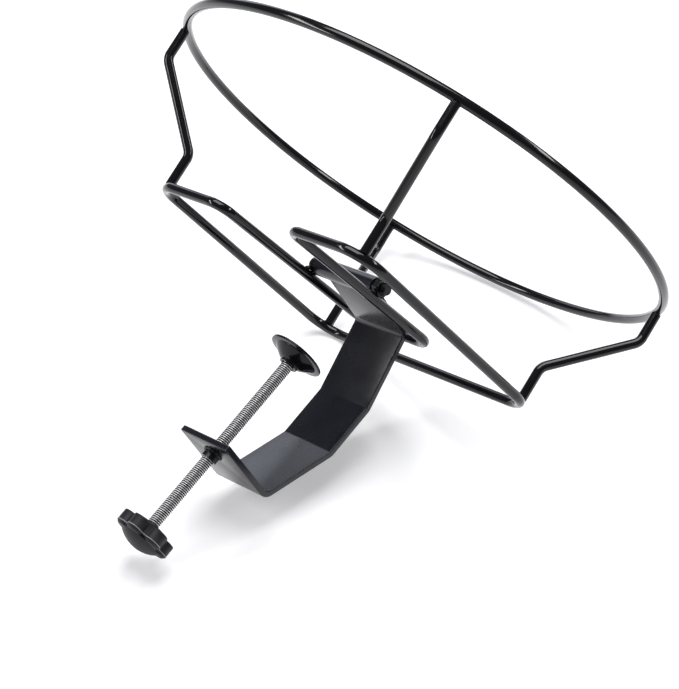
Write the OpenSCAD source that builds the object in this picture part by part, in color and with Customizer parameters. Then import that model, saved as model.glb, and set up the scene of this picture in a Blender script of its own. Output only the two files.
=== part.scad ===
// Clamp-on wire holder: a welded wire basket hinged on a bent flat-bar screw clamp.
// Frame: origin on the screw's axis in the upper jaw's bearing face, +Z up along the
// screw, +X towards the clamp's spine, Y along the hinge bolt. Millimetres.

/* [Wire basket] */
// Diameter of the drawn wire
wire_d = 4.8; // [4:0.1:5.4]
// Radius of the top ring's centre line
ring_r = 130; // [115:1:145]
// Height of the top ring above the base, centre line to centre line
ring_h = 72; // [60:1:90]
// Half length of the base, along X
base_x = 71; // [66:1:76]
// Half width of the base, along Y
base_y = 74; // [70:1:80]
// Bend radius of the base's four corners
corner_r = 15; // [12:1:20]
// Height of a leg's lower bend
leg_low = 19.6; // [16:0.1:24]
// Height of a leg's upper bend
leg_high = 54.3; // [48:0.1:56]
// Bend radius of a leg
leg_bend_r = 7; // [5:0.5:9]

/* [Slot in the base] */
// Half width of the slot between its two strands' centre lines
slot_y = 24.2; // [23.6:0.1:26]
// How far the slot's closed end stands from the base's middle
slot_end = 44.6; // [44:0.1:48]
// How far the slot's closed end is bent up out of the base
slot_rise = 4.2; // [3:0.1:5]
// Bend radius at the slot's mouth
mouth_r = 8; // [6:0.5:10]
// Bend radius at the slot's closed end
slot_r = 11.2; // [8:0.2:14]

/* [Hinge] */
// Distance of the hinge axis behind the screw's axis
hinge_back = 7; // [6:0.1:8]
// Distance of the hinge axis behind the base's middle
hinge_base_x = 3.3; // [2:0.1:5]
// Height of the hinge axis above the base's centre line
hinge_base_z = 8.7; // [8.5:0.1:9.2]
// How far the basket is tipped back as it is shown
tip_back = 11; // [0:1:20]
// Outside diameter of the hinge tube
tube_d = 9.2; // [8.8:0.1:10]
// Length of the hinge tube
tube_l = 40.6; // [38:0.1:41]
// Diameter of the hinge bolt
bolt_d = 5; // [4.8:0.1:5]

/* [Clamp] */
// Width of the flat bar
bar_w = 34; // [30:1:36]
// Thickness of the flat bar
bar_t = 3; // [2.5:0.1:3.4]
// Clear height between the two jaws
jaw_gap = 100.5; // [98:0.5:104]
// Reach of the upper jaw, to its bend
jaw_reach = 27.7; // [26:0.1:30]
// Reach of the spine, the clamp's deepest part
spine_reach = 39.7; // [37:0.1:42]
// Length of the upright part of the spine
spine_l = 28; // [24:1:32]
// Reach of the lower jaw, to its bend
low_reach = 25; // [23:0.1:27]
// How far the lower jaw runs past the screw
low_tail = 10; // [8:0.5:14]
// Inside bend radius of the flat bar
bar_bend_r = 3; // [2:0.5:4]

/* [Screw and knob] */
// Outside diameter of the screw
screw_d = 6; // [5.9:0.05:6]
// Depth of the pad's rim below the upper jaw
pad_depth = 42.3; // [20:0.1:80]
// Diameter of the swivel pad
pad_d = 28; // [26:0.5:30]
// Height of the swivel pad
pad_h = 6.8; // [6:0.1:8]
// Distance from the pad's rim to the knob's hub
screw_reach = 105.3; // [100:0.1:110]
// Outside diameter of the knob
knob_d = 28; // [26:1:30]
// Height of the knob's lobed skirt
skirt_h = 6.4; // [6:0.1:7]
// Height of the knob's dome
dome_h = 4.6; // [4:0.1:5]
// Number of lobes on the knob
lobes = 6; // [5:1:7]

/* [Hidden] */
$fn = 64;

black_coat = [0.09, 0.09, 0.10];
black_plastic = [0.13, 0.13, 0.14];
bright_steel = [0.72, 0.71, 0.69];

wire_r = wire_d / 2;
lap = 0.03;                          // how far a straight runs into its bend
bar_grow = 1.002;                    // a bar bend's section against a straight's
wire_grow = 1.008;                   // a wire bend's section against a straight's
weld_lap = wire_d * 0.4;             // a leg's end stops this far from the wire it meets
run_gap = 0.05;                      // radial play of a shaft in its hole
side_gap = 0.5;                      // play at each end of the hinge tube
screw_r = screw_d / 2 - run_gap;
thread_r = screw_d / 2;
hinge_z = bar_t / 2;                 // the tube is welded on the bar's mid-plane
bar_mid_r = bar_bend_r + bar_t / 2;
bush_d = 8;
bush_tail = 4;                       // how far the bush stands below the lower jaw
head_d = 8;
head_l = 5.6;
nut_flats = 8;
nut_l = 4;
bolt_tail = 3.2;                     // bolt left standing past its nut
head_chamfer = 1.4;
pad_floor = 1.2;                     // thickness of the pad's sheet
neck_r = 4.7;
neck_skirt = 1;                      // height of the neck below the pad's floor
neck_gap = 0.4;                      // play of the screw in the neck
rim_h = 1.2;                         // height of the pad's flat rim
rim_flat = 1.4;
rim_step = 2.8;                      // how far the rim stands out past the flare
rim_dip = 0.2;
flare_power = 1.3;                   // 1 is a plain cone; more bulges like a bowl
under_rim = 0.3;                     // slope between the flare's top and the rim
spigot_r = 2;
peen_r = 3.3;
peen_h = 1.1;
peen_taper = 0.7;
float_gap = 0.3;                     // end play of the pad on its spigot
hub_d = 17;
hub_h = 1.2;
insert_flats = 10;
insert_h = 5;
lobe_r = 4.6;
lobe_turn = 19;                      // a valley faces away from the spine
lobe_out = 3;                        // how far a lobe stands out past the knob's middle

// Unit vector along v.
function unit(v) = v / norm(v);

// A vector across d, level where it can be.
function across(d) = abs(d.z) > 0.9 * norm(d) ? unit(cross([0, 1, 0], d)) : unit(cross([0, 0, 1], d));

// Length that a bend of radius r at corner b takes from each of its straights.
function bend_cut(a, b, c, r) =
    r * tan(acos(max(-1, min(1, unit(b - a) * unit(c - b)))) / 2);

// Places a section that looks along z_dir, with its own X along x_dir, at point p.
module placed(p, x_dir, y_dir, z_dir) {
    multmatrix([[x_dir.x, y_dir.x, z_dir.x, p.x],
                [x_dir.y, y_dir.y, z_dir.y, p.y],
                [x_dir.z, y_dir.z, z_dir.z, p.z],
                [0, 0, 0, 1]])
        children();
}

// A straight of the child section from a to b; side is across the section's Y.
module straight(a, b, side) {
    d = unit(b - a);
    placed(a, cross(side, d), side, d)
        linear_extrude(norm(b - a))
            children();
}

// A bend of the child section of radius r at corner b, between straights ab and bc.
// Its section is a hair larger, so that the straights' ends lie wholly inside it.
module bend(a, b, c, r, grow) {
    u = unit(b - a);
    v = unit(c - b);
    n = unit(cross(u, v));
    inward = cross(n, u);
    start = b - u * bend_cut(a, b, c, r);
    placed(start + inward * r, -inward, u, n)
        rotate_extrude(angle = acos(u * v), $fn = 96)
            translate([r, 0])
                scale(grow)
                    children();
}

// The child section swept along the corner points p, with bend radius r[i] at p[i].
module swept(p, r, grow = wire_grow, closed = false, side = undef) {
    n = len(p);
    for (i = [0 : n - (closed ? 1 : 2)]) {
        a = p[i];
        b = p[(i + 1) % n];
        cut_a = !closed && i == 0 ? 0 : bend_cut(p[(i + n - 1) % n], a, b, r[i]);
        cut_b = !closed && i == n - 2 ? 0 : bend_cut(a, b, p[(i + 2) % n], r[(i + 1) % n]);
        lap_a = cut_a > 0 ? lap : 0;
        lap_b = cut_b > 0 ? lap : 0;
        straight(a + unit(b - a) * (cut_a - lap_a), b - unit(b - a) * (cut_b - lap_b),
                 is_undef(side) ? across(b - a) : side)
            children();
        if (closed || i < n - 2)
            bend(a, b, p[(i + 2) % n], r[(i + 1) % n], grow)
                children();
    }
}

// The basket's own frame, tipped back about the hinge axis.
module on_hinge() {
    translate([-hinge_back, 0, hinge_z])
        rotate([0, -tip_back, 0])
            translate([hinge_base_x, 0, -hinge_base_z])
                children();
}

// One closed wire: a square outline with the slot folded into its desk side.
module base_path() {
    swept([[-base_x, -base_y, 0], [-base_x, -slot_y, 0],
           [slot_end, -slot_y, slot_rise], [slot_end, slot_y, slot_rise],
           [-base_x, slot_y, 0], [-base_x, base_y, 0],
           [base_x, base_y, 0], [base_x, -base_y, 0]],
          [corner_r, mouth_r, slot_r, slot_r, mouth_r, corner_r, corner_r, corner_r],
          closed = true)
        circle(wire_r);
}

module ring_torus() {
    translate([0, 0, ring_h])
        rotate_extrude($fn = 128)
            translate([ring_r, 0])
                circle(wire_r);
}

module base_wire() {
    color(black_coat)
        on_hinge()
            base_path();
}

module top_ring() {
    color(black_coat)
        on_hinge()
            ring_torus();
}

// A short rod of the wire's size along d, to cope an end that is welded on at p.
module cope(p, d) {
    straight(p - d * 2 * wire_d, p + d * 2 * wire_d, [0, 0, 1])
        circle(wire_r);
}

// A bent leg from the middle of a base corner, at side x and side y, to the ring.
// Both its ends are coped to the wires that they are welded on.
module leg(side_x, side_y) {
    mid = corner_r * (1 - sqrt(0.5));
    foot = side_x * [base_x - mid, base_y - mid, 0];
    head = unit(foot) * ring_r;
    up = [0, 0, 1];
    color(black_coat)
        on_hinge()
            mirror([0, side_x == side_y ? 0 : 1, 0])
                difference() {
                    swept([foot + up * weld_lap, foot + up * leg_low,
                           head + up * leg_high, head + up * (ring_h - weld_lap)],
                          [0, leg_bend_r, leg_bend_r, 0])
                        circle(wire_r);
                    cope(head + up * ring_h, cross(up, unit(head)));
                    cope(foot, unit(side_x * [-1, 1, 0]));
                }
}

module leg_left_desk() {
    leg(-1, 1);
}

module leg_right_desk() {
    leg(-1, -1);
}

module leg_right_spine() {
    leg(1, -1);
}

module leg_left_spine() {
    leg(1, 1);
}

// A round along the hinge axis, from y0 to y1.
module hinge_round(d, y0, y1) {
    translate([-hinge_back, y0, hinge_z])
        rotate([-90, 0, 0])
            cylinder(d = d, h = y1 - y0);
}

// The flat bar's centre line runs half a thickness outside the clear gap.
module clamp_bracket() {
    half = bar_t / 2;
    spine_top = -(jaw_gap - spine_l) / 2;
    color(black_coat)
        difference() {
            swept([[-hinge_back, 0, half],
                   [jaw_reach + half, 0, half],
                   [spine_reach + half, 0, spine_top],
                   [spine_reach + half, 0, spine_top - spine_l],
                   [low_reach + half, 0, -jaw_gap - half],
                   [-low_tail, 0, -jaw_gap - half]],
                  [0, bar_mid_r, bar_mid_r, bar_mid_r, bar_mid_r, 0],
                  grow = bar_grow, side = [0, 1, 0])
                square([bar_t, bar_w], center = true);
            hinge_round(tube_d, -bar_w, bar_w);
            translate([0, 0, -jaw_gap - bar_t - 1])
                cylinder(d = bush_d, h = bar_t + 2);
        }
}

module hinge_tube() {
    color(black_coat)
        difference() {
            hinge_round(tube_d, -tube_l / 2, tube_l / 2);
            hinge_round(bolt_d + 2 * run_gap, -tube_l, tube_l);
        }
}

// Threaded bush through the lower jaw; its bore is drawn at the thread's outside.
module thread_bush() {
    color(black_coat)
        translate([0, 0, -jaw_gap - bar_t - bush_tail])
            difference() {
                cylinder(d = bush_d, h = bar_t + bush_tail);
                translate([0, 0, -1])
                    cylinder(r = thread_r, h = bar_t + bush_tail + 2);
            }
}

// A strand of the slot, at side y, long enough to cope a part that sits on it.
module strand(side_y) {
    on_hinge()
        straight([-base_x, side_y * slot_y, 0], [slot_end, side_y * slot_y, slot_rise], [0, 1, 0])
            circle(wire_r);
}

// The bolt's head sits on the left strand of the slot and is coped to it.
module hinge_bolt() {
    y_head = tube_l / 2 + side_gap;
    color(black_coat)
        difference() {
            union() {
                hinge_round(bolt_d, -y_head - nut_l - bolt_tail, y_head + 1);
                hinge_round(head_d, y_head, y_head + head_l - head_chamfer);
                translate([-hinge_back, y_head + head_l - head_chamfer, hinge_z])
                    rotate([-90, 0, 0])
                        cylinder(d1 = head_d, d2 = head_d - 2 * head_chamfer, h = head_chamfer);
            }
            strand(1);
        }
}

// The nut sits on the right strand of the slot and is coped to it.
module hinge_nut() {
    color(black_coat)
        difference() {
            translate([-hinge_back, -tube_l / 2 - side_gap - nut_l, hinge_z])
                rotate([-90, 30 - tip_back, 0])
                    cylinder(d = nut_flats / cos(30), h = nut_l, $fn = 6);
            hinge_round(bolt_d, -tube_l, tube_l);
            strand(-1);
        }
}

// The screw with the spigot and the peened end that hold the pad.
module clamp_screw() {
    floor_z = -pad_depth - pad_h + neck_skirt;
    end_z = -pad_depth - screw_reach - hub_h - insert_h;
    color(bright_steel) {
        translate([0, 0, end_z])
            cylinder(r = screw_r, h = floor_z - float_gap - end_z);
        translate([0, 0, floor_z - float_gap])
            cylinder(r = spigot_r, h = pad_floor + 2 * float_gap);
        translate([0, 0, floor_z + pad_floor + float_gap])
            cylinder(r1 = peen_r, r2 = peen_r - peen_taper, h = peen_h);
    }
}

// Half outline of the pad's sheet: flat rim, step, flared wall, floor and neck skirt.
module pad_outline() {
    rim_r = pad_d / 2;
    step_r = rim_r - rim_step;
    wall_h = pad_h - neck_skirt - rim_h - under_rim;
    flare = [for (i = [0 : 10]) let (t = i / 10)
             [neck_r + (step_r - neck_r) * t, neck_skirt + wall_h * pow(t, flare_power)]];
    difference() {
        polygon(concat([[spigot_r + run_gap, 0], [neck_r, 0]], flare,
                       [[rim_r, pad_h - rim_h], [rim_r, pad_h], [spigot_r + run_gap, pad_h]]));
        polygon(concat([[0, neck_skirt + pad_floor]],
                       [for (p = flare) [p.x - pad_floor, p.y + pad_floor]],
                       [[rim_r - rim_flat, pad_h - rim_dip], [rim_r - rim_flat, pad_h + 1], [0, pad_h + 1]]));
        square([thread_r + neck_gap, neck_skirt]);
    }
}

module swivel_pad() {
    color(black_coat)
        translate([0, 0, -pad_depth - pad_h])
            rotate_extrude($fn = 96)
                pad_outline();
}

// Lobed knob, dome down, with a pocket for its moulded-in nut.
module star_knob() {
    top = -pad_depth - screw_reach;
    dome_r = knob_d / 2 - lobe_out;
    ball_r = (dome_r * dome_r + dome_h * dome_h) / (2 * dome_h);
    color(black_plastic)
        rotate(lobe_turn)
            difference() {
                union() {
                    translate([0, 0, top - hub_h])
                        cylinder(d = hub_d, h = hub_h);
                    translate([0, 0, top - hub_h - skirt_h]) {
                        cylinder(r = dome_r, h = skirt_h);
                        for (i = [0 : lobes - 1])
                            rotate(i * 360 / lobes)
                                translate([knob_d / 2 - lobe_r, 0, 0])
                                    cylinder(r = lobe_r, h = skirt_h);
                    }
                    intersection() {
                        translate([0, 0, top - hub_h - skirt_h + ball_r - dome_h])
                            sphere(r = ball_r, $fn = 128);
                        translate([0, 0, top - hub_h - skirt_h - dome_h])
                            cylinder(r = dome_r, h = dome_h);
                    }
                }
                translate([0, 0, top - hub_h])
                    cylinder(r = thread_r, h = hub_h + 1);
                translate([0, 0, top - hub_h - insert_h])
                    cylinder(d = insert_flats / cos(30), h = insert_h, $fn = 6);
            }
}

module knob_insert() {
    color(bright_steel)
        translate([0, 0, -pad_depth - screw_reach - hub_h - insert_h])
            rotate(lobe_turn)
                difference() {
                    cylinder(d = insert_flats / cos(30), h = insert_h, $fn = 6);
                    translate([0, 0, -1])
                        cylinder(r = thread_r, h = insert_h + 2);
                }
}

clamp_bracket();
hinge_tube();
thread_bush();
base_wire();
top_ring();
leg_left_desk();
leg_right_desk();
leg_right_spine();
leg_left_spine();
hinge_bolt();
hinge_nut();
clamp_screw();
swivel_pad();
star_knob();
knob_insert();
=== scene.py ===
# %% [markdown]
# # A clamp-on wire holder
#
# The object is a basket of bent and welded round wire: a ring, four cranked legs and a square
# base wire with a slot. It is hinged on a flat bar that is bent into a clamp, and a screw with
# a swivel pad and a star knob closes the clamp. This lesson builds what a maker's drawing leaves
# out: the thread, the weld beads, the rounded edges, the moulded knob and the finishes.
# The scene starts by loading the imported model, which fixes every place and every size.

# %% Load the frame
import math

import bmesh
import bpy
from mathutils import Matrix, Vector


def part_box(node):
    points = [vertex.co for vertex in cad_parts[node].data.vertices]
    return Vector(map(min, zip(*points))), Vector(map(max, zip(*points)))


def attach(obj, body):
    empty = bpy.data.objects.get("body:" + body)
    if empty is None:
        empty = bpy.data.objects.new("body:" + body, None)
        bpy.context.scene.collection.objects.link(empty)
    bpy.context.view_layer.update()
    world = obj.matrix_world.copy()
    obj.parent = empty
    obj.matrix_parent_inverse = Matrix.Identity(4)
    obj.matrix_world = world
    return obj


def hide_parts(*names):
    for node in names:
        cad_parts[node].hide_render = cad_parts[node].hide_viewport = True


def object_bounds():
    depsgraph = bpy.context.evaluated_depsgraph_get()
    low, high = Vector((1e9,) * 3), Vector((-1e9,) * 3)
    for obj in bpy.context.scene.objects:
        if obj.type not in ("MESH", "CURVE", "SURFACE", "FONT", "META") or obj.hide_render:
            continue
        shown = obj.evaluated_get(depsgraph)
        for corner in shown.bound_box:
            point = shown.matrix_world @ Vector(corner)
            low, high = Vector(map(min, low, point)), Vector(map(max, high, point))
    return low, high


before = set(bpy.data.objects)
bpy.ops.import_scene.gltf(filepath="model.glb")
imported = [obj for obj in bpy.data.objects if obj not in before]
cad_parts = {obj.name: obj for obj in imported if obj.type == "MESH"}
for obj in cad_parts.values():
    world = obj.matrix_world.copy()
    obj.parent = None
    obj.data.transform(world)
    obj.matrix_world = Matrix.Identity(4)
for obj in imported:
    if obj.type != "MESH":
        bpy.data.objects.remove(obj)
cad_low, cad_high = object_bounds()
MM = 0.001
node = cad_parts

# %% [markdown]
# Most of the pieces line up with one of four things: the hinge's axis, the screw's axis, the
# bar, or the basket's own plane, which leans back about the hinge. The axes and the bar can be
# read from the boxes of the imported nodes. A box can't tell how far the basket leans or where its
# middle stands from the hinge, so those two are given here, in degrees and millimetres.

# %% Where things are
LEAN_BACK = 11
BASE_FROM_HINGE = Vector((3.3, 0, -8.7))
tube_low, tube_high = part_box("hinge_tube")
hinge = (tube_low + tube_high) / 2
bar_low, bar_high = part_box("clamp_bracket")
bush_low, bush_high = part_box("thread_bush")
pad_low, pad_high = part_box("swivel_pad")
knob_low, knob_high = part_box("star_knob")
screw_low, screw_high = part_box("clamp_screw")
lean = Matrix.Rotation(math.radians(-LEAN_BACK), 4, "Y")
basket_to_row = Matrix.Translation(hinge) @ lean @ Matrix.Translation(BASE_FROM_HINGE * MM)
print("hinge axis at", [round(v / MM, 1) for v in hinge], "mm")


def in_basket(x, y, z):
    """A point of the basket's own plane, in millimetres, as a place in the row frame."""
    return basket_to_row @ (Vector((x, y, z)) * MM)


# %% [markdown]
# The camera stands low in front of the knob and looks along the clamp, with a long lens, so
# that the ring reads as a wide ellipse. Its three directions are given as the columns of a
# rotation, which is the plainest way to say how it is rolled.

# %% The camera
CAMERA_PLACE = Vector((-0.6611, -0.7666, -0.3364))
LENS, SENSOR = 118.9, 36
SHIFT_X, SHIFT_Y = 0.0029, -0.0020
right = Vector((0.44866, -0.64771, 0.61578)).normalized()
forward = Vector((0.63206, 0.71708, 0.29375)).normalized()
upward = right.cross(forward)
camera_data = bpy.data.cameras.new("camera")
camera = bpy.data.objects.new("camera", camera_data)
bpy.context.scene.collection.objects.link(camera)
camera.matrix_world = Matrix((
    (right.x, upward.x, -forward.x, CAMERA_PLACE.x),
    (right.y, upward.y, -forward.y, CAMERA_PLACE.y),
    (right.z, upward.z, -forward.z, CAMERA_PLACE.z),
    (0, 0, 0, 1)))
camera_data.lens, camera_data.sensor_width = LENS, SENSOR
camera_data.shift_x, camera_data.shift_y = SHIFT_X, SHIFT_Y
camera_data.clip_start = 0.05
camera_data.clip_end = 20
bpy.context.scene.camera = camera
print("camera looks along", [round(v, 3) for v in forward])

# %% [markdown]
# Every new piece goes through the same steps: its points and faces become a mesh, doubled points
# are merged, the faces are turned outward, and the piece is tied to the body that it moves with.
# Shading is smooth, but edges steeper than the given angle stay sharp, as on a machined part.


# %% A helper for every piece
def piece(name, vertices, faces, body, slot, material, sharp=40):
    """A mesh piece in the row frame that rides on a body and takes the given material; slot is not
    used.
    """
    mesh = bpy.data.meshes.new(name)
    mesh.from_pydata([tuple(v) for v in vertices], [], faces)
    work = bmesh.new()
    work.from_mesh(mesh)
    bmesh.ops.remove_doubles(work, verts=work.verts, dist=1e-7)
    bmesh.ops.recalc_face_normals(work, faces=work.faces)
    work.to_mesh(mesh)
    work.free()
    obj = bpy.data.objects.new(name, mesh)
    bpy.context.scene.collection.objects.link(obj)
    mesh.materials.append(material)
    mesh.shade_smooth()
    mesh.set_sharp_from_angle(angle=math.radians(sharp))
    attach(obj, body)
    return obj


# %% [markdown]
# Round parts such as the pad, the spigot and the bolt's head are turned on a lathe, and a lathe
# is also how they are made here: a half outline is spun about an axis. It stops a hair short of
# the axis, because a ring of points with no radius would fold into one. Corners in the outline
# are cut round, because an edge with no width never catches the light.


# %% A lathe
HAIR = 0.001


def quads(rings, steps):
    """Faces between each ring of points and the next, for rings of steps points each."""
    faces = []
    for i in range(rings - 1):
        for k in range(steps):
            n = (k + 1) % steps
            faces.append((i * steps + k, i * steps + n, (i + 1) * steps + n, (i + 1) * steps + k))
    return faces


def lathe(outline, centre, along, steps=96):
    """Vertices and faces of an outline of (radius, height) spun about along through centre."""
    along = Vector(along).normalized()
    side = along.orthogonal().normalized()
    other = along.cross(side)
    vertices = []
    for r, h in outline:
        for k in range(steps):
            a = 2 * math.pi * k / steps
            out = side * math.cos(a) + other * math.sin(a)
            vertices.append(Vector(centre) + out * r * MM + along * h * MM)
    return vertices, quads(len(outline), steps)


def rounded(outline, radius, steps=3):
    """The same outline with each inner corner cut round by up to radius."""
    out = [outline[0]]
    for i in range(1, len(outline) - 1):
        a, b, c = (Vector(p) for p in outline[i - 1:i + 2])
        cut = min(radius, (a - b).length * 0.45, (c - b).length * 0.45)
        if cut < 1e-4:
            out.append(tuple(b))
            continue
        start, end = b + (a - b).normalized() * cut, b + (c - b).normalized() * cut
        for s in range(steps + 1):
            t = s / steps
            out.append(tuple(start * (1 - t) ** 2 + b * 2 * t * (1 - t) + end * t ** 2))
    return out + [outline[-1]]


print("a square corner, cut round:", len(rounded([(0, 0), (1, 0), (1, 1)], 0.2)), "points")

# %% [markdown]
# The black of the wire is a baked powder coat: a dark, glossy skin with a very fine ripple, like
# the skin of an orange, and a few duller patches where hands and packing have rubbed it. One
# noise drives the ripple's bump and a slower one varies the roughness and lightens the black. The
# flat bar has the same coat, a little thinner and more satin, so it takes the grey of the room,
# and over a weld the coat is lumpier. Gloss on black is all reflection, so these finishes differ
# mostly in their roughness, their specular level and how much clear top coat they carry.

# %% The coat
PATCH_SCALE, RUBBED, RIPPLE_DEPTH = 55, 1.25, 0.00005


def coat_material(name, colour, rough, ripple, ripple_scale, gloss=0.5, clear=(0.0, 0.03)):
    """A skinned finish: rough from low to high, clear as the top coat's weight and roughness."""
    material = bpy.data.materials.new(name)
    material.use_nodes = True
    nodes, links = material.node_tree.nodes, material.node_tree.links
    shader = nodes["Principled BSDF"]
    shader.inputs["Specular IOR Level"].default_value = gloss
    shader.inputs["Coat Weight"].default_value = clear[0]
    shader.inputs["Coat Roughness"].default_value = clear[1]
    place = nodes.new("ShaderNodeTexCoord")
    patches = nodes.new("ShaderNodeTexNoise")
    patches.inputs["Scale"].default_value = PATCH_SCALE
    patches.inputs["Detail"].default_value = 5
    skin = nodes.new("ShaderNodeTexNoise")
    skin.inputs["Scale"].default_value = ripple_scale
    skin.inputs["Detail"].default_value = 2
    spread = nodes.new("ShaderNodeMapRange")
    spread.inputs["From Min"].default_value = 0.3
    spread.inputs["From Max"].default_value = 0.7
    spread.inputs["To Min"].default_value = rough[0]
    spread.inputs["To Max"].default_value = rough[1]
    tint = nodes.new("ShaderNodeValToRGB")
    tint.color_ramp.elements[0].position = 0.35
    tint.color_ramp.elements[0].color = (*colour, 1)
    tint.color_ramp.elements[1].position = 0.75
    tint.color_ramp.elements[1].color = (*(c * RUBBED for c in colour), 1)
    bump = nodes.new("ShaderNodeBump")
    bump.inputs["Strength"].default_value = ripple
    bump.inputs["Distance"].default_value = RIPPLE_DEPTH
    for texture in (patches, skin):
        links.new(place.outputs["Object"], texture.inputs["Vector"])
    links.new(patches.outputs["Fac"], spread.inputs["Value"])
    links.new(patches.outputs["Fac"], tint.inputs["Fac"])
    links.new(tint.outputs["Color"], shader.inputs["Base Color"])
    links.new(spread.outputs["Result"], shader.inputs["Roughness"])
    links.new(skin.outputs["Fac"], bump.inputs["Height"])
    links.new(bump.outputs["Normal"], shader.inputs["Normal"])
    return material


wire_coat = coat_material("wire_coat", (0.0030, 0.0030, 0.0038), (0.09, 0.19), 0.22, 1400,
                          gloss=0.20, clear=(0.4, 0.03))
bar_coat = coat_material("bar_coat", (0.0032, 0.0036, 0.0078), (0.20, 0.30), 0.30, 1100,
                         gloss=0.38, clear=(0.25, 0.22))
weld_coat = coat_material("weld_coat", (0.004, 0.004, 0.005), (0.24, 0.42), 0.9, 700, gloss=0.25)
pad_coat = coat_material("pad_coat", (0.004, 0.004, 0.0055), (0.10, 0.20), 0.2, 900,
                         gloss=0.14, clear=(0.15, 0.04))
print("coats:", wire_coat.name, bar_coat.name, weld_coat.name, pad_coat.name)

# %% [markdown]
# The screw is bright zinc on rolled steel. The thread's light and shade are painted into its
# colour: a near-white painted highlight in the roots and a near-black painted shade on the crests,
# so the colour goes by the distance from the screw's axis. The axis passes through the origin, so
# that distance is the length of the first two coordinates. A slow noise makes the plating duller
# in places.


# %% Bright zinc
def zinc_material(name, inner, outer):
    """Zinc painted light at radius inner and painted dark at radius outer, in metres from the
    axis.
    """
    material = bpy.data.materials.new(name)
    material.use_nodes = True
    nodes, links = material.node_tree.nodes, material.node_tree.links
    shader = nodes["Principled BSDF"]
    shader.inputs["Metallic"].default_value = 0.35
    shader.inputs["Specular IOR Level"].default_value = 0.15
    place = nodes.new("ShaderNodeTexCoord")
    flat = nodes.new("ShaderNodeVectorMath")
    flat.operation = "MULTIPLY"
    flat.inputs[1].default_value = (1, 1, 0)
    reach = nodes.new("ShaderNodeVectorMath")
    reach.operation = "LENGTH"
    share = nodes.new("ShaderNodeMapRange")
    share.inputs["From Min"].default_value = inner
    share.inputs["From Max"].default_value = outer
    grime = nodes.new("ShaderNodeTexNoise")
    grime.inputs["Scale"].default_value = 420
    grime.inputs["Detail"].default_value = 6
    tint = nodes.new("ShaderNodeValToRGB")
    # These two stops paint the thread's highlight and shade: near white in the roots, near black
    # on the crests.
    lit_band, shaded_band = tint.color_ramp.elements
    lit_band.position, lit_band.color = 0.34, (0.97, 0.97, 0.98, 1)
    shaded_band.position, shaded_band.color = 0.50, (0.004, 0.004, 0.004, 1)
    rough = nodes.new("ShaderNodeMapRange")
    rough.inputs["To Min"].default_value = 0.20
    rough.inputs["To Max"].default_value = 0.42
    links.new(place.outputs["Object"], flat.inputs[0])
    links.new(flat.outputs["Vector"], reach.inputs[0])
    links.new(reach.outputs["Value"], share.inputs["Value"])
    links.new(share.outputs["Result"], tint.inputs["Fac"])
    links.new(tint.outputs["Color"], shader.inputs["Base Color"])
    links.new(place.outputs["Object"], grime.inputs["Vector"])
    links.new(grime.outputs["Fac"], rough.inputs["Value"])
    links.new(rough.outputs["Result"], shader.inputs["Roughness"])
    return material


thread_zinc = zinc_material("thread_zinc", 2.40 * MM, 3.0 * MM)
print("metal:", thread_zinc.name)

# %% [markdown]
# The wires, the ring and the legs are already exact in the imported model: round wire, real bends.
# They stay as they are and only take the coat.

# %% Coat the carried-over nodes
finish_of = {"base_wire": wire_coat, "top_ring": wire_coat, "hinge_tube": bar_coat,
             "thread_bush": bar_coat, "knob_insert": thread_zinc}
finish_of.update({n: wire_coat for n in node if n.startswith("leg_")})
for name, material in finish_of.items():
    mesh = node[name].data
    mesh.materials.clear()
    mesh.materials.append(material)
print("coated nodes:", sorted(finish_of))

# %% [markdown]
# The clamp's bar is 34 by 3 mm flat steel, cold bent round a small former. It starts inside the
# tube's wall, where the weld holds it. A curve object with rounded corners could carry its path,
# but then the bend's radius would only be near what the former gives, so the path is worked out
# as straights and true arcs along the middle of the sheet. Its ends and its deepest reach are read
# from the bar's box, and the bends between them are given in millimetres.

# %% The path of the bar
BAR_T, BAR_W, EDGE, BEND_MID = 3.0, 34.0, 0.45, 4.5
IN_TUBE_WALL = 3.2
JAW_BEND_X, LOW_BEND_X = 29.2, 26.5
SPINE_TOP_Z, SPINE_LOW_Z = -36.25, -64.25
bar_top = bar_high.z / MM - BAR_T / 2
bar_bottom = bar_low.z / MM + BAR_T / 2
spine_x = bar_high.x / MM - BAR_T / 2
corners = [Vector(p) for p in (
    (hinge.x / MM + IN_TUBE_WALL, bar_top), (JAW_BEND_X, bar_top), (spine_x, SPINE_TOP_Z),
    (spine_x, SPINE_LOW_Z), (LOW_BEND_X, bar_bottom), (bar_low.x / MM, bar_bottom))]


def bent_path(corners, radius, steps=10):
    """Stations of (place, direction) along a path of straights and arcs in one plane."""
    stations = [(corners[0], (corners[1] - corners[0]).normalized())]
    for a, b, c in zip(corners, corners[1:], corners[2:]):
        u, v = (b - a).normalized(), (c - b).normalized()
        turn = u.angle_signed(v)
        cut = radius * math.tan(abs(turn) / 2)
        side = Vector((-u.y, u.x)) * (1 if u.x * v.y - u.y * v.x > 0 else -1)
        middle = b - u * cut + side * radius
        for s in range(steps + 1):
            angle = abs(turn) * s / steps
            out = -side * math.cos(angle) + u * math.sin(angle)
            along = u * math.cos(angle) + side * math.sin(angle)
            stations.append((middle + out * radius, along))
    return stations + [(corners[-1], (corners[-1] - corners[-2]).normalized())]


stations = bent_path(corners, BEND_MID)
print("bar stations:", len(stations))

# %% [markdown]
# The mill has left the bar's corners slightly round. Extruding a side outline would leave knife
# edges all round, so a section is swept instead: the same rounded outline is set at each station
# of the bent path, and it shrinks a little at the two sawn ends.


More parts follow.
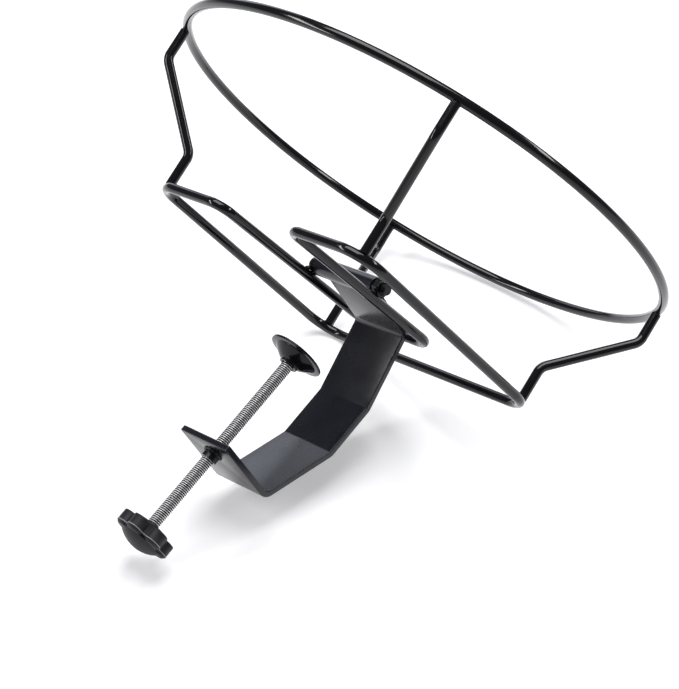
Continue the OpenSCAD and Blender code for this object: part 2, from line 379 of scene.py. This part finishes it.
# %% The bent bar
def rounded_rectangle(width, height, radius, steps=4):
    """A rectangle's outline about the origin, with its corners rounded."""
    out = []
    for sx, sy, first in ((1, 1, 0), (-1, 1, 90), (-1, -1, 180), (1, -1, 270)):
        for s in range(steps + 1):
            a = math.radians(first + 90 * s / steps)
            out.append((sx * (width / 2 - radius) + radius * math.cos(a),
                        sy * (height / 2 - radius) + radius * math.sin(a)))
    return out


def bar_mesh(stations):
    """The section swept along the stations, with its ends eased in by the edge radius."""
    section = rounded_rectangle(BAR_W, BAR_T, EDGE)
    first, last = stations[0], stations[-1]
    ease = [(0, EDGE), (0.13, 0.2), (EDGE, 0)]
    rows = [(first[0] + first[1] * d, first[1], i) for d, i in ease]
    rows += [(p, d, 0) for p, d in stations[1:-1]]
    rows += [(last[0] - last[1] * d, last[1], i) for d, i in reversed(ease)]
    vertices = []
    for p, d, inset in rows:
        across = Vector((-d.y, d.x))
        for y, t in section:
            y -= math.copysign(inset, y)
            t *= 1 - inset / (BAR_T / 2)
            spot = p + across * t
            vertices.append(Vector((spot.x, y, spot.y)) * MM)
    n = len(section)
    ends = [tuple(range(n)), tuple((len(rows) - 1) * n + k for k in reversed(range(n)))]
    return vertices, quads(len(rows), n) + ends


bar = piece("clamp_bar", *bar_mesh(stations), "clamp", "black_coat", bar_coat)
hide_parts("clamp_bracket")
print("bar faces:", len(bar.data.polygons))

# %% [markdown]
# The hole for the bush is drilled last, as in the workshop. A boolean does it: a plain round
# cutter is taken away from the bar, the result is kept as the bar's mesh, and the cutter goes.


# %% The hole for the bush
def cut_hole(obj, centre, along, radius, depth, steps=64):
    """Cuts a round hole through obj with a throwaway cutter."""
    mesh = bpy.data.meshes.new("cutter")
    vertices, faces = lathe([(radius, -depth), (radius, depth)], centre, along, steps)
    faces += [tuple(range(steps)), tuple(range(2 * steps - 1, steps - 1, -1))]
    mesh.from_pydata([tuple(v) for v in vertices], [], faces)
    cutter = bpy.data.objects.new("cutter", mesh)
    bpy.context.scene.collection.objects.link(cutter)
    tool = obj.modifiers.new("hole", "BOOLEAN")
    tool.object, tool.operation, tool.solver = cutter, "DIFFERENCE", "EXACT"
    bpy.context.view_layer.update()
    cut = bpy.data.meshes.new_from_object(obj.evaluated_get(bpy.context.evaluated_depsgraph_get()))
    obj.modifiers.clear()
    obj.data = cut
    cut.set_sharp_from_angle(angle=math.radians(40))
    bpy.data.objects.remove(cutter)


bush_r = (bush_high.x - bush_low.x) / 2 / MM
cut_hole(bar, (0, 0, bar_bottom * MM), (0, 0, 1), bush_r, BAR_T)
print("hole of", round(2 * bush_r, 2), "mm, bar faces now:", len(bar.data.polygons))

# %% [markdown]
# The screw is M6 with a pitch of 1 mm. A bump map of stripes would do from afar, but its outline
# would stay straight, so the thread is real: one long helical strip. A small outline of root,
# flank, crest and flank goes round and round, and each turn joins the one below. Heights are
# clamped at both ends, which cuts the strip off flat, as a saw would, and the crests fade there.

# %% A thread
PITCH, CREST, ROOT = 1.0, 3.0, 2.42
FADE = 0.5
THREAD_STEPS = 40


def thread_mesh(z_low, z_high, steps=THREAD_STEPS, crest=CREST, root=ROOT, pitch=PITCH):
    """One helical strip from z_low to z_high; its outline is (share of a pitch, radius)."""
    outline = [(0.0, root), (0.08, root), (0.32, crest), (0.60, crest), (0.92, root), (1.0, root)]
    turns = math.ceil((z_high - z_low) / pitch) + 2
    vertices, faces = [], []
    for s in range(turns * steps + 1):
        a = 2 * math.pi * s / steps
        for dz, r in outline:
            z = z_low + pitch * (s / steps + dz - 1.5)
            clamped = min(max(z, z_low), z_high)
            over = min(1.0, min(abs(clamped - z_low), abs(z_high - clamped)) / FADE)
            r_end = root + (r - root) * over
            vertices.append(Vector((r_end * math.cos(a), r_end * math.sin(a), clamped)) * MM)
    n = len(outline)
    for s in range(turns * steps):
        for k in range(n - 1):
            quad = (s * n + k, (s + 1) * n + k, (s + 1) * n + k + 1, s * n + k + 1)
            heights = {round(vertices[q].z, 8) for q in quad}
            if len(heights) > 1:
                faces.append(quad)
    return vertices, faces


def capped(z_low, z_high, root=ROOT, **size):
    """The thread with a flat disc at each end."""
    vertices, faces = thread_mesh(z_low, z_high, root=root, **size)
    for disc in ([(HAIR, z_low), (root, z_low)], [(root, z_high), (HAIR, z_high)]):
        more, more_faces = lathe(disc, (0, 0, 0), (0, 0, 1), THREAD_STEPS)
        shift = len(vertices)
        vertices += more
        faces += [tuple(i + shift for i in f) for f in more_faces]
    return vertices, faces


print("outline repeats every", PITCH, "mm, depth", round(CREST - ROOT, 2), "mm")

# %% [markdown]
# The screw's shank ends inside the pad's neck. From there a thinner spigot goes through the pad's
# floor, and its end is hammered over like a rivet, so that the pad swivels but can't come off.
# The spigot is turned on the lathe, from the shank's top up.

# %% The screw and its spigot
SHANK_IN_NECK = 0.7
shank_top = pad_low.z / MM + SHANK_IN_NECK
screw = piece("threaded_screw", *capped(screw_low.z / MM, shank_top), "screw", "bright_steel",
              thread_zinc, sharp=25)
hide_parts("clamp_screw")
spigot = [(HAIR, -0.1), (2.0, -0.1), (2.0, 1.75), (3.1, 1.8), (3.25, 2.0), (2.9, 2.5),
          (1.9, 2.85), (HAIR, 2.9)]
spigot = [(r, min(h, screw_high.z / MM - shank_top)) for r, h in spigot]
piece("peened_spigot", *lathe(rounded(spigot, 0.2), (0, 0, shank_top * MM), (0, 0, 1), 64),
      "screw", "bright_steel", thread_zinc)
print("thread vertices:", len(screw.data.vertices))

# %% [markdown]
# The pad is a thin pressed cup, coated black: a short neck, a wall that opens like a bowl, a
# step and a flat rim. It is symmetric about the screw, so it is a lathe job. The outline runs
# once round the sheet: up the outside, over the rim, down the inside and out through the bore.

# %% The swivel pad
NECK, BORE, HOLE = 4.7, 3.4, 2.05
SHEET, STEP_OUT, RIM_FLAT, BOWL = 1.2, 2.8, 1.4, 1.3


def pad_outline(flare_steps=16):
    """The pad's closed half outline, in millimetres from its lowest point."""
    rim, top = (pad_high.x - pad_low.x) / 2 / MM, (pad_high.z - pad_low.z) / MM
    bell = rim - STEP_OUT
    outer = [(NECK + (bell - NECK) * t, 1.0 + (top - 2.5) * t ** BOWL)
             for t in (i / flare_steps for i in range(flare_steps + 1))]
    inner = [(r - SHEET, h + SHEET) for r, h in outer]
    loop = [(BORE, 1.0), (BORE, 0.0), (NECK, 0.0)] + outer
    loop += [(bell + 0.15, top - 1.2), (rim, top - 1.1), (rim, top), (rim - RIM_FLAT, top),
             (rim - RIM_FLAT, top - 0.2)]
    loop += list(reversed(inner)) + [(HOLE, 2.2), (HOLE, 1.0), (BORE, 1.0)]
    return rounded(loop, 0.22, 3)


pad = piece("swivel_cup", *lathe(pad_outline(), (0, 0, pad_low.z), (0, 0, 1), 128), "pad",
            "black_coat", pad_coat, sharp=55)
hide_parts("swivel_pad")
print("pad height:", round((pad_high.z - pad_low.z) / MM, 2), "mm")

# %% [markdown]
# The star knob is black moulded plastic, duller than the coat, and the edge where the two halves
# of its mould met carries a pale painted highlight. It has six round lobes with a slight fillet
# between them. Six discs round a middle would have to be joined and their joins smoothed, so one
# function gives the radius at every angle instead: the greater of lobe and middle, blended where
# they are close.

# %% The knob's outline and finishes
knob_plastic = coat_material("knob_plastic", (0.007, 0.007, 0.009), (0.40, 0.54), 0.5, 900,
                             gloss=0.26)
# A pale grey painted highlight for the faces along the mould's edge.
painted_edge_highlight = coat_material("painted_edge_highlight", (0.20, 0.20, 0.21), (0.30, 0.45), 0.3, 900)
LOBES, LOBE_R, LOBE_C, HEART = 6, 4.6, 9.4, 11.0
LOBE_TURN = math.radians(19)
VALLEY = 0.18


def knob_radius(a):
    """Radius of the lobed outline at angle a, with the valleys softened."""
    a = (a - LOBE_TURN + math.pi / LOBES) % (2 * math.pi / LOBES) - math.pi / LOBES
    reach = LOBE_R ** 2 - (LOBE_C * math.sin(a)) ** 2
    lobe = LOBE_C * math.cos(a) + math.sqrt(reach) if reach > 0 else 0
    if lobe == 0:
        return HEART
    top = max(lobe, HEART)
    blend = math.exp((lobe - top) / VALLEY) + math.exp((HEART - top) / VALLEY)
    return top + VALLEY * math.log(blend) \
        - VALLEY * math.log(2) * math.exp(-abs(lobe - HEART) / VALLEY)


print("outline from", HEART, "to", round(knob_radius(LOBE_TURN), 1), "mm")

# %% [markdown]
# From the screw's side the knob is a low hub, a skirt with the lobes, the mould's crisp edge, an
# eased rim and a smooth dome. The outline is drawn in by a little at each height, and it gives way
# to a circle for the hub and the dome. The faces of the mould's edge then take a pale painted
# highlight.

# %% The star knob
HUB_R, SKIRT, DOME_R = 8.5, 8.45, 10.5
DOME_ROWS = 24
EDGE_TOP, EDGE_LOW = 6.7, 7.1


def knob_mesh(steps=288):
    """Rows of (radius, depth below the hub's face, how far drawn in, 1 where it has lobes)."""
    hub_r, height = HUB_R, (knob_high.z - knob_low.z) / MM
    top = knob_high.z / MM
    rows = [(3.1, 0, 0, 0), (hub_r - 0.4, 0, 0, 0), (hub_r - 0.1, 0.12, 0, 0), (hub_r, 0.45, 0, 0),
            (hub_r, 1.1, 0, 0)]
    rows += [(0, 1.2, 1.0, 1), (0, 1.22, 0.35, 1), (0, 1.3, 0.12, 1), (0, 1.5, 0.02, 1),
             (0, 1.7, 0.0, 1), (0, 6.65, 0.0, 1), (0, 6.75, -0.10, 1), (0, 6.9, -0.14, 1),
             (0, 7.05, -0.10, 1), (0, 7.15, 0.1, 1), (0, 7.4, 0.3, 1), (0, 7.8, 0.65, 1),
             (0, 8.2, 1.15, 1), (0, 8.4, 1.9, 1)]
    dome_h = height - SKIRT
    ball = (DOME_R ** 2 + dome_h ** 2) / (2 * dome_h)
    rows += [(DOME_R + 0.1, SKIRT, 0, 0)]
    for i in range(1, DOME_ROWS + 1):
        r = DOME_R * math.cos(i / DOME_ROWS * math.pi / 2) if i < DOME_ROWS else HAIR
        h = SKIRT + dome_h - ball + math.sqrt(ball ** 2 - r ** 2)
        rows.append((r, h, 0, 0))
    vertices = []
    for r, h, inset, lobed in rows:
        for k in range(steps):
            a = 2 * math.pi * k / steps
            reach = knob_radius(a) - inset if lobed else r
            spot = (reach * math.cos(a), reach * math.sin(a), top - h)
            vertices.append(Vector(spot) * MM)
    return vertices, quads(len(rows), steps)


knob = piece("star_grip", *knob_mesh(), "screw", "black_plastic", knob_plastic, sharp=50)
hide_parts("star_knob")
knob.data.materials.append(painted_edge_highlight)
highlight_slot = len(knob.data.materials) - 1
line_top, line_low = (knob_high.z / MM - EDGE_TOP) * MM, (knob_high.z / MM - EDGE_LOW) * MM
# The faces in the band of the mould's edge take the painted highlight.
for face in knob.data.polygons:
    if line_low < face.center.z < line_top:
        face.material_index = highlight_slot
print("knob across lobes:", round((knob_high.x - knob_low.x) / MM, 2), "mm")

# %% [markdown]
# The hinge is an M5 bolt through a tube. Its head and its nut are welded to the slot's strands,
# and the nut leaves a short threaded end. Bolt, thread and nut are made standing up, where their
# numbers are easy to read, and one turn then lays them along the hinge.

# %% The hinge bolt
BOLT_R, HEAD_R, HEAD_WALL, PLAY = 2.5, 4.0, 2.4, 0.5
DOME_POINTS = 14
bolt_low, bolt_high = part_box("hinge_bolt")
nut_low, nut_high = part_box("hinge_nut")


def along_hinge(vertices):
    """Turns a mesh that was made along Z to lie along the hinge, from the tube's middle."""
    turn = Matrix.Translation(hinge) @ Matrix.Rotation(-math.pi / 2, 4, "X")
    return [turn @ v for v in vertices]


y_nut = (nut_low.y / MM, nut_high.y / MM)
y_bolt = (bolt_low.y / MM, bolt_high.y / MM)
head_at = (tube_high.y - hinge.y) / MM + PLAY
crown = y_bolt[1] - head_at - HEAD_WALL
bolt_outline = [(HAIR, y_nut[0]), (BOLT_R, y_nut[0]), (BOLT_R, head_at), (HEAD_R, head_at)]
bolt_outline += [(HEAD_R * math.cos(t), head_at + HEAD_WALL + crown * math.sin(t))
                 for t in (i * math.pi / 2 / DOME_POINTS for i in range(DOME_POINTS))]
bolt_outline += [(HAIR, y_bolt[1])]
vertices, faces = lathe(rounded(bolt_outline, 0.15, 2), (0, 0, 0), (0, 0, 1), 64)
bolt = piece("hinge_bolt_round", along_hinge(vertices), faces, "basket", "black_coat", wire_coat)
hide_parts("hinge_bolt")
vertices, faces = capped(y_bolt[0], y_nut[0] + 0.3, crest=BOLT_R, root=2.1, pitch=0.8)
piece("hinge_bolt_thread", along_hinge(vertices), faces, "basket", "black_coat", weld_coat,
      sharp=25)
print("bolt from", round(y_bolt[0], 1), "to", round(y_bolt[1], 1), "mm along the hinge")

# %% [markdown]
# The nut is a hexagon whose corners are turned off, as on every bought nut. It starts as a turned
# shape, and wherever that would be wider than the hexagon, the hexagon's flat cuts it.

# %% The hinge nut
ACROSS_FLATS, CORNER = 8.0, 0.62


def nut_mesh(low, high, flats, bore, steps=72):
    """A hexagon nut with turned-off corners and a countersunk bore."""
    def hexagon(a):
        a = (a + math.pi / 6) % (math.pi / 3) - math.pi / 6
        return flats / 2 / math.cos(a)
    rows = [(bore, low + 0.4), (bore + 0.5, low), (flats / 2 - 0.1, low),
            (flats / 2 + CORNER, low + 0.42), (flats / 2 + CORNER, high - 0.42),
            (flats / 2 - 0.1, high), (bore + 0.5, high), (bore, high - 0.4), (bore, low + 0.4)]
    vertices = []
    for r, z in rows:
        for k in range(steps):
            a = 2 * math.pi * k / steps
            reach = min(hexagon(a), r)
            vertices.append(Vector((reach * math.cos(a), reach * math.sin(a), z)) * MM)
    return vertices, quads(len(rows), steps)


vertices, faces = nut_mesh(*y_nut, ACROSS_FLATS, BOLT_R)
nut = piece("hinge_nut_hex", along_hinge(vertices), faces, "basket", "black_coat", weld_coat,
            sharp=30)
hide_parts("hinge_nut")
print("nut from", round(y_nut[0], 1), "to", round(y_nut[1], 1), "mm along the hinge")

# %% [markdown]
# Every joint of the wires is a resistance or gas weld, and after coating a weld is a small lumpy
# collar. Each bead here is a short tube along a few points whose thickness wanders. A random
# wander would differ on each run unless it is seeded; a sum of sines with a phase for each bead
# looks as uneven and is the same each time.

# %% A weld bead
STRIDE, LUMP = 0.5, 0.22


def bead(name, points, thickness, body, phase=0.0, steps=14):
    """A lumpy tube through points (row frame, metres), thickness in mm."""
    points = [Vector(p) for p in points]
    rows = []
    for a, b in zip(points, points[1:]):
        pieces = max(2, round((b - a).length / (STRIDE * MM)))
        rows += [a + (b - a) * (i / pieces) for i in range(pieces)]
    rows.append(points[-1])
    vertices = []
    for i, p in enumerate(rows):
        ahead = (rows[min(i + 1, len(rows) - 1)] - rows[max(i - 1, 0)]).normalized()
        side = ahead.orthogonal().normalized()
        other = ahead.cross(side)
        t = i / (len(rows) - 1)
        swell = math.sqrt(max(0.0, 1 - (2 * t - 1) ** 6)) or 0.02
        for k in range(steps):
            a = 2 * math.pi * k / steps
            wander = 1 + LUMP * math.sin(3.1 * i * STRIDE + phase) * 0.6 \
                + LUMP * 0.5 * math.sin(2 * a + 1.7 * i * STRIDE + 2.3 * phase)
            reach = thickness / 2 * swell * wander * MM
            vertices.append(p + (side * math.cos(a) + other * math.sin(a)) * reach)
    ends = [tuple(range(steps)),
            tuple((len(rows) - 1) * steps + k for k in reversed(range(steps)))]
    return piece(name, vertices, quads(len(rows), steps) + ends, body, "black_coat", weld_coat,
                 sharp=80)


print("a bead has a ring of points every", STRIDE, "mm")

# %% [markdown]
# A leg stands on the middle of a base corner and ends under the ring, and each end has a bead on
# either side. Their places are worked out in the basket's own plane, in millimetres.

# %% Welds on the legs
BASE_X, BASE_Y, CORNER_R, RING_R, RING_H = 71.0, 74.0, 15.0, 130.0, 72.0
BEAD_UP, BEAD_OUT, BEAD_HALF, BEAD_D = 2.0, 2.0, 1.2, 1.5
corner_in = CORNER_R * (1 - math.sqrt(0.5))
leg_welds = 0
for sx, sy, name in ((-1, 1, "left_desk"), (-1, -1, "right_desk"),
                     (1, -1, "right_spine"), (1, 1, "left_spine")):
    foot = Vector((sx * (BASE_X - corner_in), sy * (BASE_Y - corner_in), 0))
    head = foot.normalized() * RING_R
    outward = foot.normalized()
    sideways = Vector((-outward.y, outward.x, 0))
    phase = 1.3 * sx + 2.1 * sy
    for end, centre, up in (("foot", foot, BEAD_UP),
                            ("head", Vector((head.x, head.y, RING_H)), -BEAD_UP)):
        for side in (-1, 1):
            path = [centre + Vector((0, 0, up)) + outward * w + sideways * side * BEAD_OUT
                    for w in (-BEAD_HALF, 0, BEAD_HALF)]
            bead(f"weld_{name}_{end}_{'a' if side < 0 else 'b'}", [in_basket(*p) for p in path],
                 BEAD_D, "basket", phase=phase + side)
            leg_welds += 1
print("weld beads on the legs:", leg_welds)

# %% [markdown]
# The tube lies on the bar's end with a bead above and one below, the bush has a ring of weld
# under the jaw, and the bolt's head and nut have a blob against each strand.

# %% Welds at the hinge and the bush
TUBE_BEAD_X, TUBE_BEAD_D = 3.9, 1.7
RING_BEAD_R, RING_BEAD_D, RING_STEPS = 4.25, 1.5, 40
BLOB_X, BLOB_DOWN, BLOB_HALF, BLOB_D = 2.6, 4.3, 1.6, 2.0
reach = BAR_W / 2 - 1.0
for name, z, phase in (("top", 3.35, 7.0), ("under", -0.2, 3.8)):
    bead(f"weld_tube_{name}", [(hinge.x + TUBE_BEAD_X * MM, y * MM, z * MM)
                              for y in (-reach, 0, reach)], TUBE_BEAD_D, "clamp", phase=phase)
ring_points = [(RING_BEAD_R * MM * math.cos(a), RING_BEAD_R * MM * math.sin(a),
                bar_low.z - 0.15 * MM)
               for a in (2 * math.pi * k / RING_STEPS for k in range(RING_STEPS - 1))]
bead("weld_bush", ring_points, RING_BEAD_D, "clamp", phase=0.7)
for side, y_mid in ((1, head_at + 2.6), (-1, -(head_at + 2.4))):
    for dx in (-BLOB_X, BLOB_X):
        spots = [(hinge.x / MM + dx, y_mid + dy, hinge.z / MM - BLOB_DOWN)
                 for dy in (-BLOB_HALF, BLOB_HALF)]
        bead(f"weld_hinge_{'left' if side > 0 else 'right'}_{'a' if dx < 0 else 'b'}",
             [Vector(p) * MM for p in spots], BLOB_D, "basket", phase=dx + side)
print("tube beads at", TUBE_BEAD_X, "mm from the hinge's axis, bush ring at", RING_BEAD_R, "mm")

# %% [markdown]
# The holder lies on a white sweep, tipped over on its spine. The floor is a large plane that just
# touches the lowest point of the object along the floor's own upright direction. Tipping the
# object instead would move it out of the model's frame, so the floor is what leans.

# %% The floor
SPAN, GAP = 3.0, 0.0002
upright = Vector((-0.890, -0.264, 0.371)).normalized()
lowest = min(upright.dot(v.co) for o in node.values() for v in o.data.vertices)
middle = (cad_low + cad_high) / 2
touch = middle + upright * (lowest - upright.dot(middle) - GAP)
side = upright.orthogonal().normalized()
other = upright.cross(side)
floor_mesh = bpy.data.meshes.new("floor")
floor_mesh.from_pydata([tuple(touch + side * a * SPAN + other * b * SPAN)
                        for a, b in ((-1, -1), (1, -1), (1, 1), (-1, 1))], [], [(0, 1, 2, 3)])
floor = bpy.data.objects.new("floor", floor_mesh)
bpy.context.scene.collection.objects.link(floor)
print("floor touches at", round(lowest / MM, 1), "mm along its upright")

# %% [markdown]
# The sweep is matt paper with a faint mottle. It can only be seen from its upper side, so that
# views from underneath are not blocked: the geometry node's backfacing output swaps the paper for
# clear there. The paper glows a little, as a lit sweep does, which keeps the shadows light.

# %% The floor's paper
paper = bpy.data.materials.new("paper")
paper.use_nodes = True
nodes, links = paper.node_tree.nodes, paper.node_tree.links
shader = nodes["Principled BSDF"]
shader.inputs["Roughness"].default_value = 0.6
shader.inputs["Specular IOR Level"].default_value = 0.2
shader.inputs["Emission Color"].default_value = (1.0, 0.995, 1.0, 1)
shader.inputs["Emission Strength"].default_value = 0.27
grain = nodes.new("ShaderNodeTexNoise")
grain.inputs["Scale"].default_value = 30
shade = nodes.new("ShaderNodeValToRGB")
shade.color_ramp.elements[0].color = (0.86, 0.86, 0.885, 1)
shade.color_ramp.elements[1].color = (0.89, 0.89, 0.91, 1)
clear = nodes.new("ShaderNodeBsdfTransparent")
facing = nodes.new("ShaderNodeNewGeometry")
pick = nodes.new("ShaderNodeMixShader")
links.new(grain.outputs["Fac"], shade.inputs["Fac"])
links.new(shade.outputs["Color"], shader.inputs["Base Color"])
links.new(facing.outputs["Backfacing"], pick.inputs["Fac"])
links.new(shader.outputs["BSDF"], pick.inputs[1])
links.new(clear.outputs["BSDF"], pick.inputs[2])
links.new(pick.outputs["Shader"], nodes["Material Output"].inputs["Surface"])
floor_mesh.materials.append(paper)
print("floor finish:", paper.name)

# %% [markdown]
# The holder stands in a white tent with a pale backdrop. Gloss black shows whatever stands round
# it, and a room as bright as the backdrop would turn it grey, so the light path node gives the
# backdrop only to what is seen straight on, and a dimmer room to what is mirrored.

# %% The room
world = bpy.data.worlds.new("tent")
bpy.context.scene.world = world
world.use_nodes = True
nodes, links = world.node_tree.nodes, world.node_tree.links
room = nodes["Background"]
room.inputs["Color"].default_value = (0.96, 0.97, 1.0, 1)
room.inputs["Strength"].default_value = 0.16
backdrop = nodes.new("ShaderNodeBackground")
backdrop.inputs["Color"].default_value = (0.93, 0.94, 0.96, 1)
seen = nodes.new("ShaderNodeLightPath")
choose = nodes.new("ShaderNodeMixShader")
links.new(seen.outputs["Is Camera Ray"], choose.inputs["Fac"])
links.new(room.outputs["Background"], choose.inputs[1])
links.new(backdrop.outputs["Background"], choose.inputs[2])
links.new(choose.outputs["Shader"], nodes["World Output"].inputs["Surface"])
print("room strength:", round(room.inputs["Strength"].default_value, 2))

# %% [markdown]
# One wide soft box stands above the holder, and a tall narrow one at each side. They draw the long
# highlights on the wires and lay soft grey shadows. A sun lamp would do neither, because it has no
# size to be mirrored. A small cool box lights the lowest fold of the bar.


# %% The soft boxes
def soft_box(name, place, aim, size, watts, colour=(1, 1, 1)):
    """An area light of size in metres at place, turned to face aim."""
    data = bpy.data.lights.new(name, "AREA")
    data.shape, data.size, data.size_y = "RECTANGLE", *size
    data.energy, data.color = watts, colour
    lamp = bpy.data.objects.new(name, data)
    bpy.context.scene.collection.objects.link(lamp)
    lamp.location = place
    lamp.rotation_euler = (aim - place).to_track_quat("-Z", "Y").to_euler()


screen_up = (upward - upright * upward.dot(upright)).normalized()
centre = Vector((0, 0, 0))
soft_box("overhead", centre + upright * 1.0 + screen_up * 0.2, centre, (0.8, 0.8), 11)
soft_box("left_side", centre - right * 0.9 + upright * 0.45 - screen_up * 0.1, centre,
         (0.12, 0.8), 4.5)
soft_box("right_side", centre + right * 0.9 + upright * 0.6 + screen_up * 0.1, centre,
         (0.12, 0.8), 3.5)
bar_middle = (bar_low + bar_high) / 2
soft_box("bar_glow", bar_middle + Vector((-0.311, 0.717, 0.624)), bar_middle, (0.42, 0.42), 0.9,
         (0.84, 0.88, 1.0))
print("lights:", sorted(light.name for light in bpy.data.lights))

# %% [markdown]
# The whites of a white room are meant to stay white, so the plain display transform is used.

# %% The display transform
bpy.context.scene.view_settings.view_transform = "Standard"
